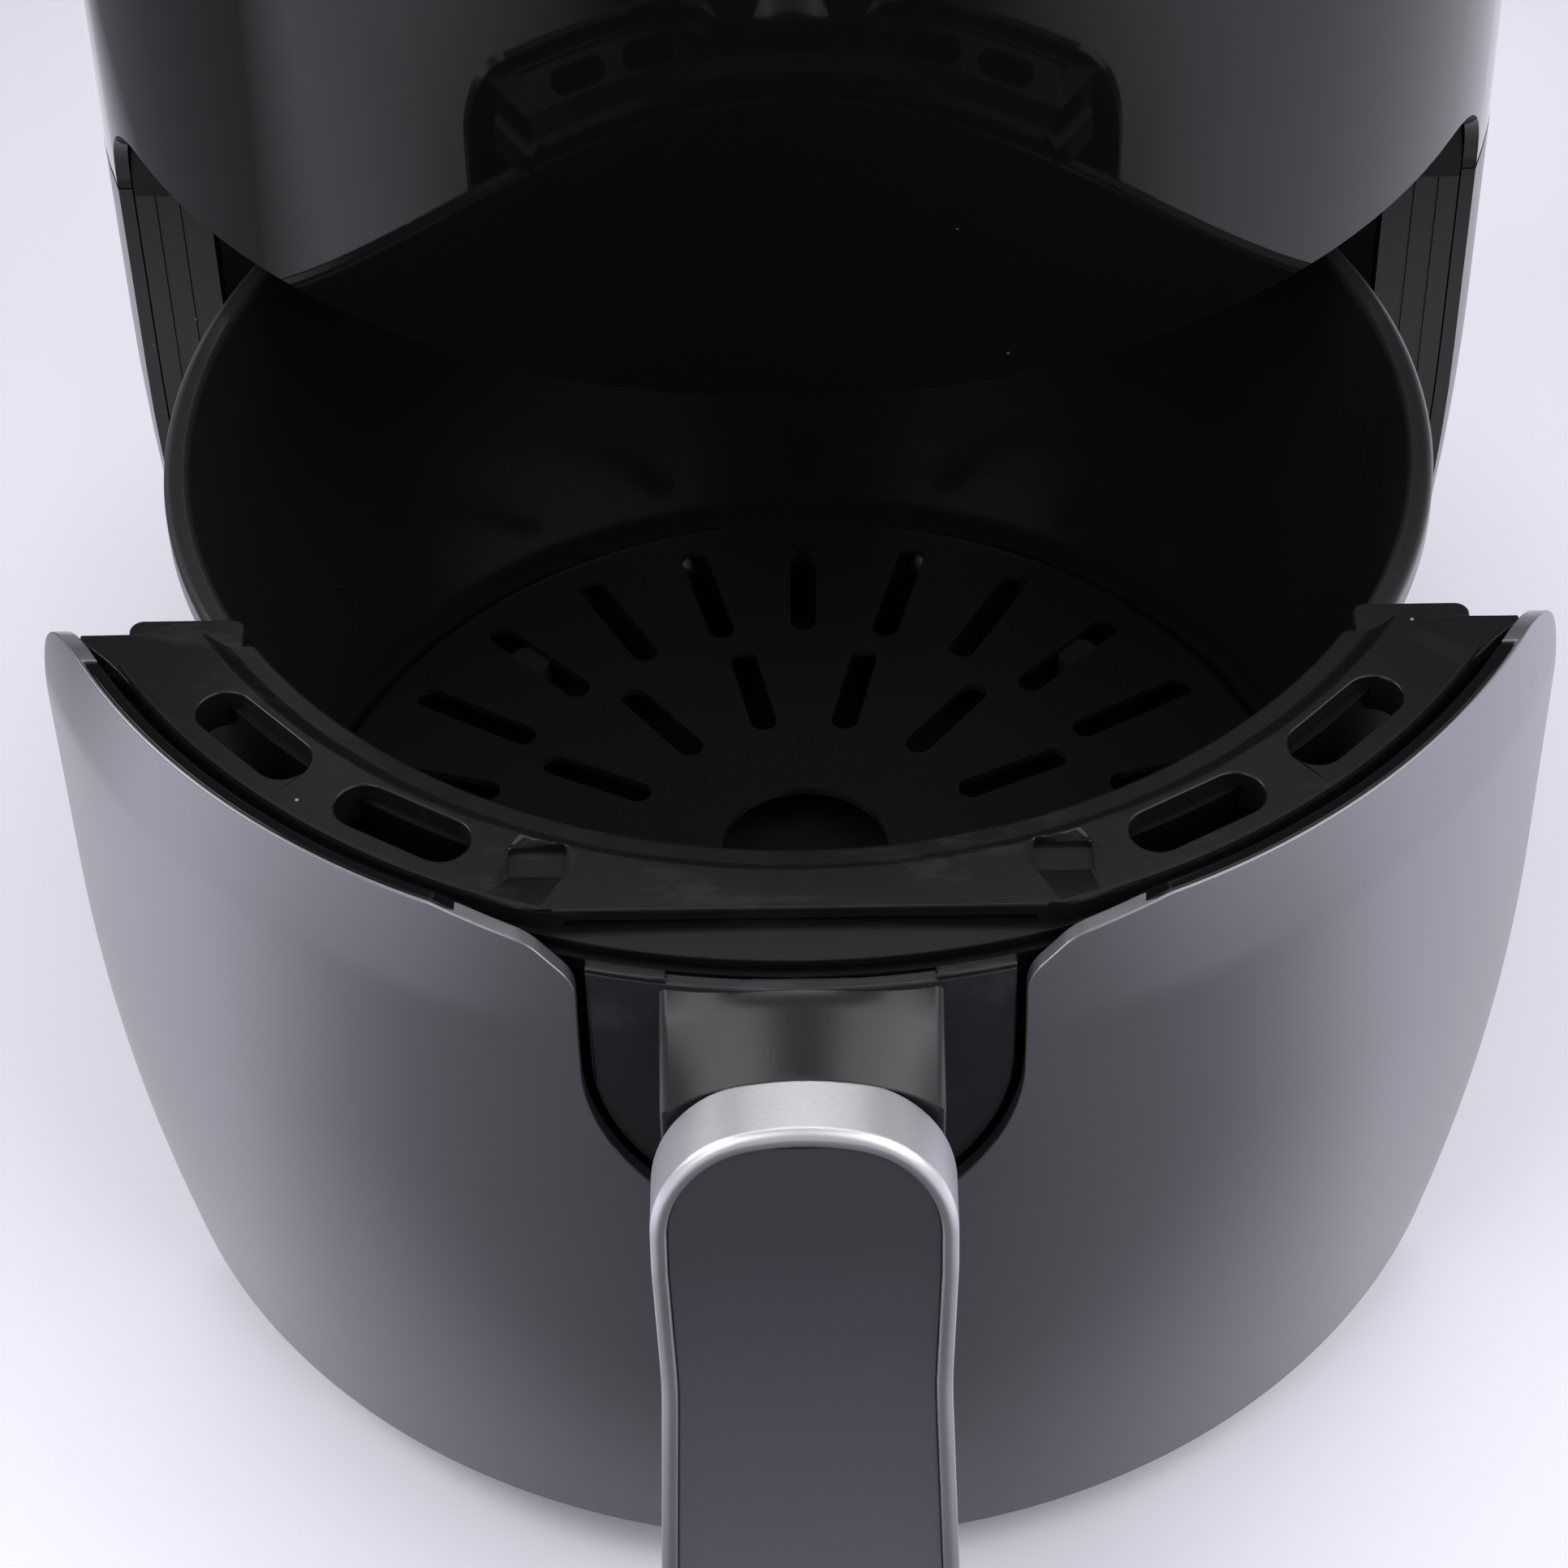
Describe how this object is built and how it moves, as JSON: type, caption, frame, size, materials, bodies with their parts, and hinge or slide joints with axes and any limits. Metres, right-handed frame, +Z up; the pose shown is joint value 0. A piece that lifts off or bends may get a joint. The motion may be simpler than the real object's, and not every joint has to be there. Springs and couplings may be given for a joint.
{
  "type": "air fryer",
  "caption": "Round hot-air fryer with a gloss front panel over a pull-out drawer that carries a round non-stick pan, a lift-out slotted crisper plate and an upright metal-framed grip.",
  "frame": {"origin": "on the table, below the middle of the part with its drawer standing open", "axes": "+Z up, -Y towards the grip and the side the drawer opens, +X to the right seen from the grip; the drawer is stored open as pictured"},
  "size_m": [0.274, 0.456, 0.326],
  "materials": {
    "graphite_shell": "satin dark graphite moulding",
    "gloss_black": "mirror-gloss black panel",
    "window_glass": "gloss black touch window",
    "satin_black": "satin black moulding",
    "liner_black": "gloss black moulding",
    "nonstick_coat": "dark non-stick coating on sheet steel",
    "satin_metal": "satin silver frame",
    "inlay_black": "semi-gloss inlay",
    "galvanised": "plain sheet steel",
    "bright_steel": "bright steel",
    "tube_steel": "dull heater tube",
    "fan_aluminium": "plain aluminium",
    "motor_paint": "dull motor can",
    "base_plastic": "dull black moulding",
    "white_plastic": "heat-resisting white plastic",
    "foot_rubber": "dull black rubber",
    "silicone": "dull black silicone",
    "board": "green board laminate",
    "screw_steel": "zinc-plated steel"
  },
  "bodies": {
    "housing": {"rear_casing": "graphite_shell", "top_cover": "graphite_shell", "front_panel": "gloss_black", "touch_window": "window_glass", "inner_frame": "satin_black", "cavity_drum": "galvanised", "cavity_floor": "satin_black", "base_plate": "base_plastic", "rubber_feet": "foot_rubber", "outlet_grille": "base_plastic", "cable_gland": "base_plastic", "heater_dish": "bright_steel", "heat_shield": "galvanised", "heating_coil": "tube_steel", "coil_clips": "bright_steel", "coil_guard": "bright_steel", "motor": "motor_paint", "motor_bracket": "galvanised", "motor_screws": "screw_steel", "base_screws": "screw_steel", "thermal_cutout": "white_plastic", "control_carrier": "base_plastic", "control_board": "board", "power_board": "board", "interlock_switch": "white_plastic"},
    "fan": {"hot_fan": "fan_aluminium", "fan_shaft": "screw_steel", "fan_nut": "screw_steel", "cooling_fan": "white_plastic"},
    "plunger": {"interlock_plunger": "white_plastic"},
    "drawer": {"drawer_front": "graphite_shell", "drawer_liner": "liner_black", "vent_frame": "satin_black", "pan": "nonstick_coat", "pan_runners": "nonstick_coat", "pan_bracket": "galvanised", "handle_bracket": "liner_black", "handle_core": "satin_black", "handle_trim": "satin_metal", "handle_inlay": "inlay_black", "handle_cover": "satin_black", "handle_screws": "screw_steel"},
    "crisper": {"crisper_plate": "nonstick_coat", "crisper_feet": "silicone"}
  },
  "joints": [
    {"name": "drawer_slide", "type": "slide", "parent": "housing", "child": "drawer", "axis": [0, -1, 0], "range_m": [-0.132, 0.118]},
    {"name": "crisper_lift", "type": "slide", "parent": "drawer", "child": "crisper", "axis": [0, 0, 1], "range_m": [0, 0.11]},
    {"name": "fan_spin", "type": "hinge", "parent": "housing", "child": "fan", "pos_m": [0, 0.09103, 0.2], "axis": [0, 0, 1], "continuous": true},
    {"name": "plunger_press", "type": "slide", "parent": "housing", "child": "plunger", "axis": [0, 1, 0], "range_m": [0, 0.003], "stiffness_N_per_m": 200}
  ]
}
